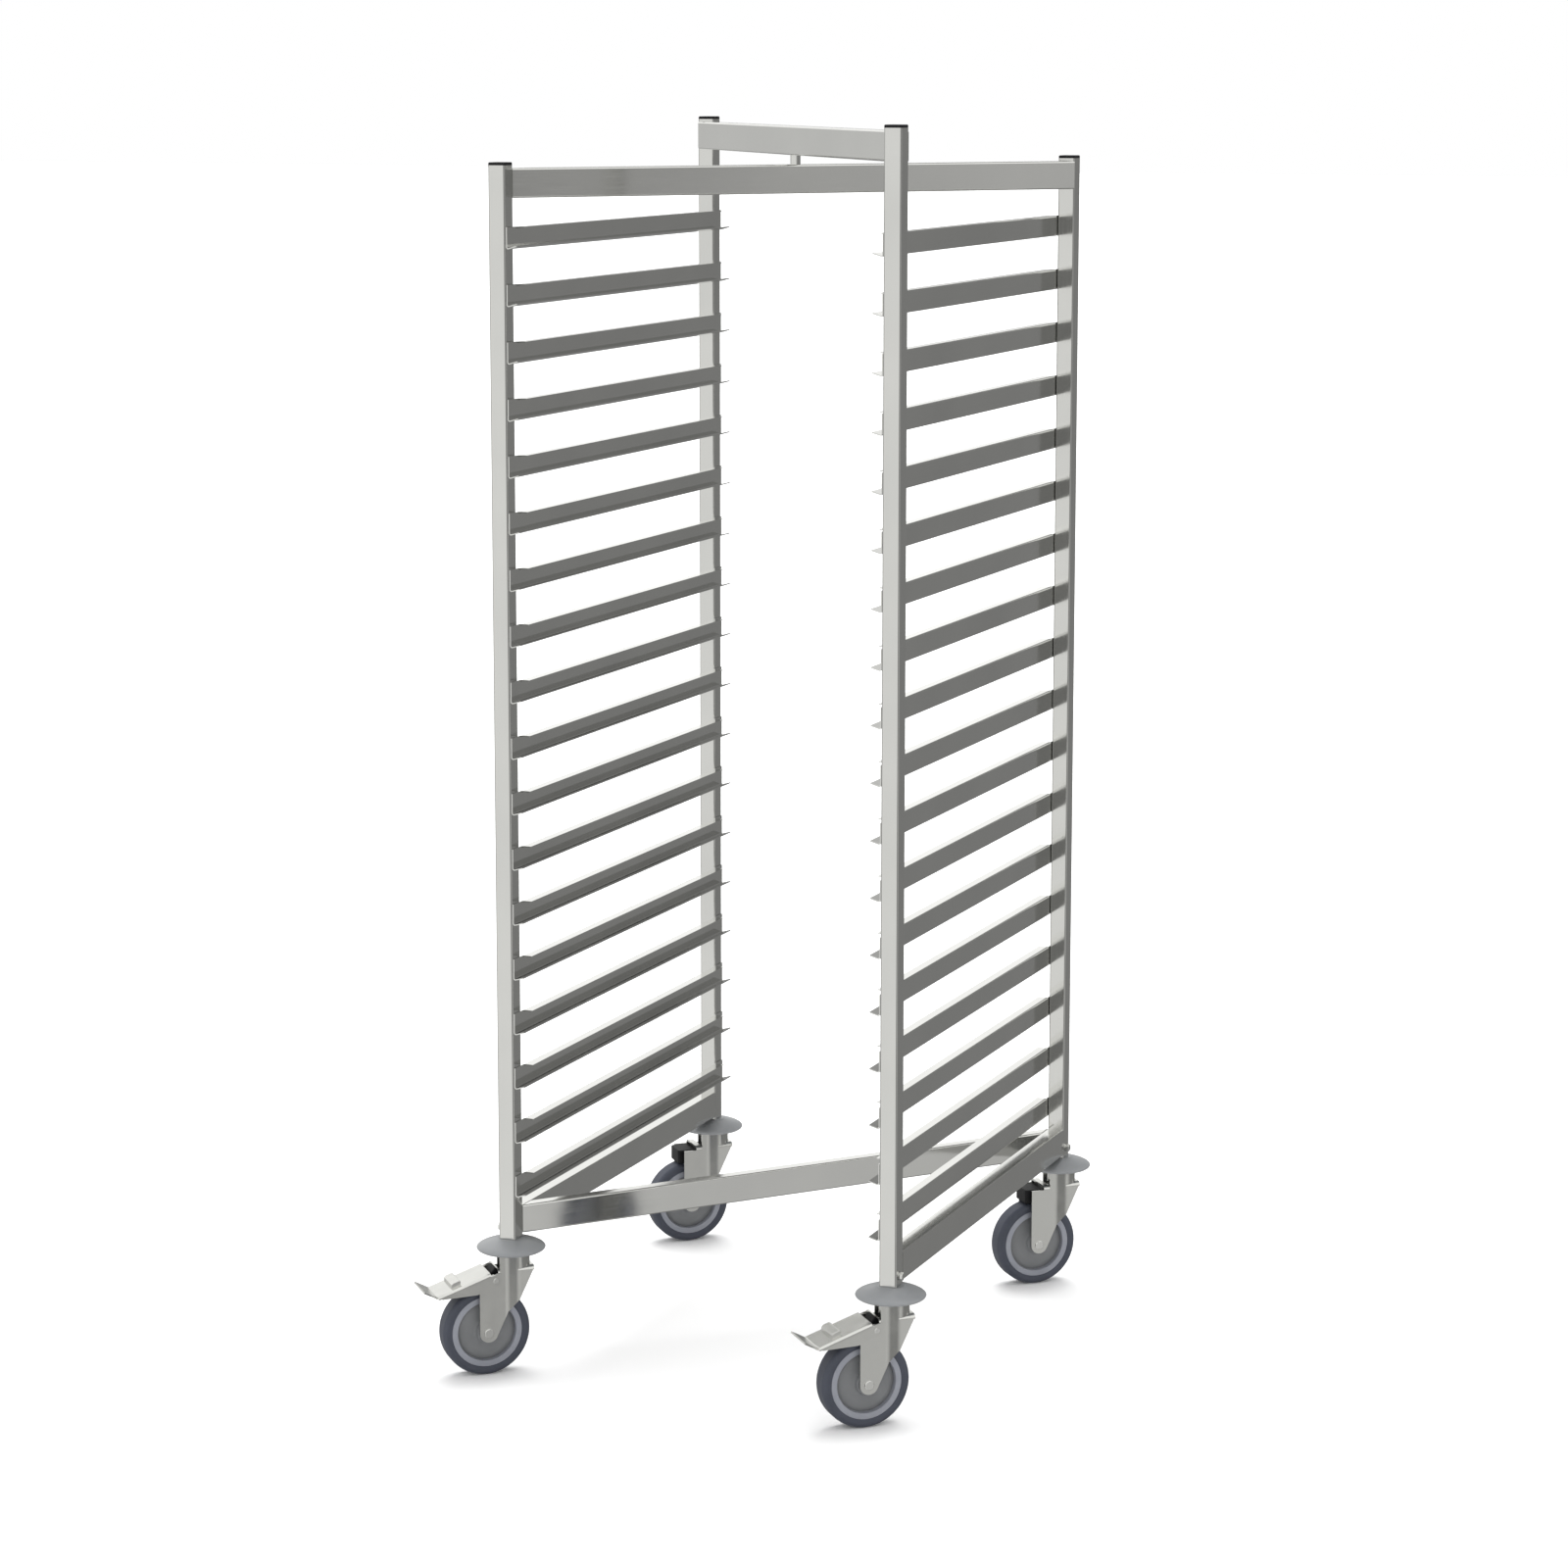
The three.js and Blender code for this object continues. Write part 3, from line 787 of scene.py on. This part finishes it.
# The world is an even white for the eye and the soft light. What the steel mirrors is a studio of
# its own, apart from that light: a bright upper half but for one side, and bright and dark walls
# all round, as (compass direction in degrees, brightness). The faces that mirror the walls' upper
# part, high up on the rack, see them a little different.
WALLS_BEFORE = ((-180, 0.60), (-155, 0.45), (-138, 0.6), (-128, 0.93), (-100, 0.93), (-90, 0.65),
                (-80, 0.3), (-60, 0.22), (-42, 0.36))
WALLS_AFTER = ((4, 0.27), (40, 0.25), (120, 0.24), (136, 0.45), (149, 0.68), (180, 0.60))
LOWER_WALLS = (*WALLS_BEFORE, (-32, 0.42), (-27, 0.58), (-23, 0.82), (-19, 0.66), (-9, 0.6),
               (-3, 0.42), *WALLS_AFTER)
UPPER_WALLS = (*WALLS_BEFORE, (-32, 0.4), (-18, 0.3), (-9, 0.58), (-3, 0.42), *WALLS_AFTER)
CEILING = ((-180, 1.2), (30, 1.2), (48, 0.25), (100, 0.25), (107, 1.2), (180, 1.2))
LOWER_TO_UPPER = (-0.16, -0.08)  # sines of the heights where one goes over into the next
UPPER_TO_CEILING = (0.02, 0.1)
WARMTH = 0.985  # blue against red and green
world = bpy.data.worlds.new("studio")
bpy.context.scene.world = world
world.use_nodes = True
tree = world.node_tree
background = next(n for n in tree.nodes if n.type == "BACKGROUND")


def world_node(kind, **settings):
    node = tree.nodes.new(kind)
    for key, value in settings.items():
        setattr(node, key, value)
    return node


where = world_node("ShaderNodeTexCoord")
parts = world_node("ShaderNodeSeparateXYZ")
tree.links.new(where.outputs["Generated"], parts.inputs["Vector"])
compass = world_node("ShaderNodeMath", operation="ARCTAN2")
tree.links.new(parts.outputs["Y"], compass.inputs[0])
tree.links.new(parts.outputs["X"], compass.inputs[1])
share = world_node("ShaderNodeMapRange")
share.inputs["From Min"].default_value = -math.pi
share.inputs["From Max"].default_value = math.pi
tree.links.new(compass.outputs["Value"], share.inputs["Value"])


def ring_of_walls(tones):
    """The brightness all round, from (direction in degrees, brightness) pairs."""
    walls = world_node("ShaderNodeValToRGB")
    stops = walls.color_ramp.elements
    stops[-1].position = 1
    for direction, _ in tones[1:-1]:
        stops.new((direction + 180) / 360)
    for stop, (_, tone) in zip(stops, tones):
        stop.color = (tone, tone, tone * WARMTH, 1)
    tree.links.new(share.outputs["Result"], walls.inputs["Fac"])
    return walls.outputs["Color"]


def blend_by_height(heights, below, above):
    """One colour below the first height of the direction, another above the second, and a soft
    change between."""
    step = world_node("ShaderNodeMapRange", interpolation_type="SMOOTHSTEP")
    step.inputs["From Min"].default_value, step.inputs["From Max"].default_value = heights
    tree.links.new(parts.outputs["Z"], step.inputs["Value"])
    return mix_colours(step.outputs["Result"], below, above)


def mix_colours(factor, first, second):
    mix = world_node("ShaderNodeMixRGB")
    tree.links.new(factor, mix.inputs["Fac"])
    for socket, colour in ((mix.inputs["Color1"], first), (mix.inputs["Color2"], second)):
        if isinstance(colour, tuple):
            socket.default_value = colour
        else:
            tree.links.new(colour, socket)
    return mix.outputs["Color"]


walls = blend_by_height(LOWER_TO_UPPER, ring_of_walls(LOWER_WALLS), ring_of_walls(UPPER_WALLS))
mirrored = blend_by_height(UPPER_TO_CEILING, walls, ring_of_walls(CEILING))
ray = world_node("ShaderNodeLightPath")
seen = mix_colours(ray.outputs["Is Glossy Ray"], (1, 1, 1, 1), mirrored)
tree.links.new(seen, background.inputs["Color"])
background.inputs["Strength"].default_value = 1.0

sun = bpy.data.lights.new("overhead", "SUN")
sun.energy = 2.4
sun.angle = math.radians(45)
overhead = bpy.data.objects.new("overhead", sun)
overhead.rotation_euler = (math.radians(-16), math.radians(-8), 0)
bpy.context.scene.collection.objects.link(overhead)
overhead.visible_glossy = False

CORNER_POINT = POSTS["front_left"][0]  # outer front corner of the front left post
CAMERA_OFFSET = (2.4275, -4.7906, 1.8022)
CAMERA_TURN = math.radians(22.835)
CAMERA_DIP = math.radians(8.706)
camera_data = bpy.data.cameras.new("camera")
camera_data.sensor_width = 36
camera_data.lens = 91.38
camera_data.shift_x = 0.0085
camera_data.shift_y = -0.0688
camera_data.clip_end = 200
camera = bpy.data.objects.new("camera", camera_data)
camera.location = Vector((CORNER_POINT.x, CORNER_POINT.y, 0)) + Vector(CAMERA_OFFSET)
level = math.cos(CAMERA_DIP)
gaze = Vector((-math.sin(CAMERA_TURN) * level, math.cos(CAMERA_TURN) * level,
               -math.sin(CAMERA_DIP)))
camera.rotation_mode = "QUATERNION"
camera.rotation_quaternion = gaze.to_track_quat("-Z", "Y")
bpy.context.scene.collection.objects.link(camera)
bpy.context.scene.camera = camera
bpy.context.scene.view_settings.view_transform = "Standard"
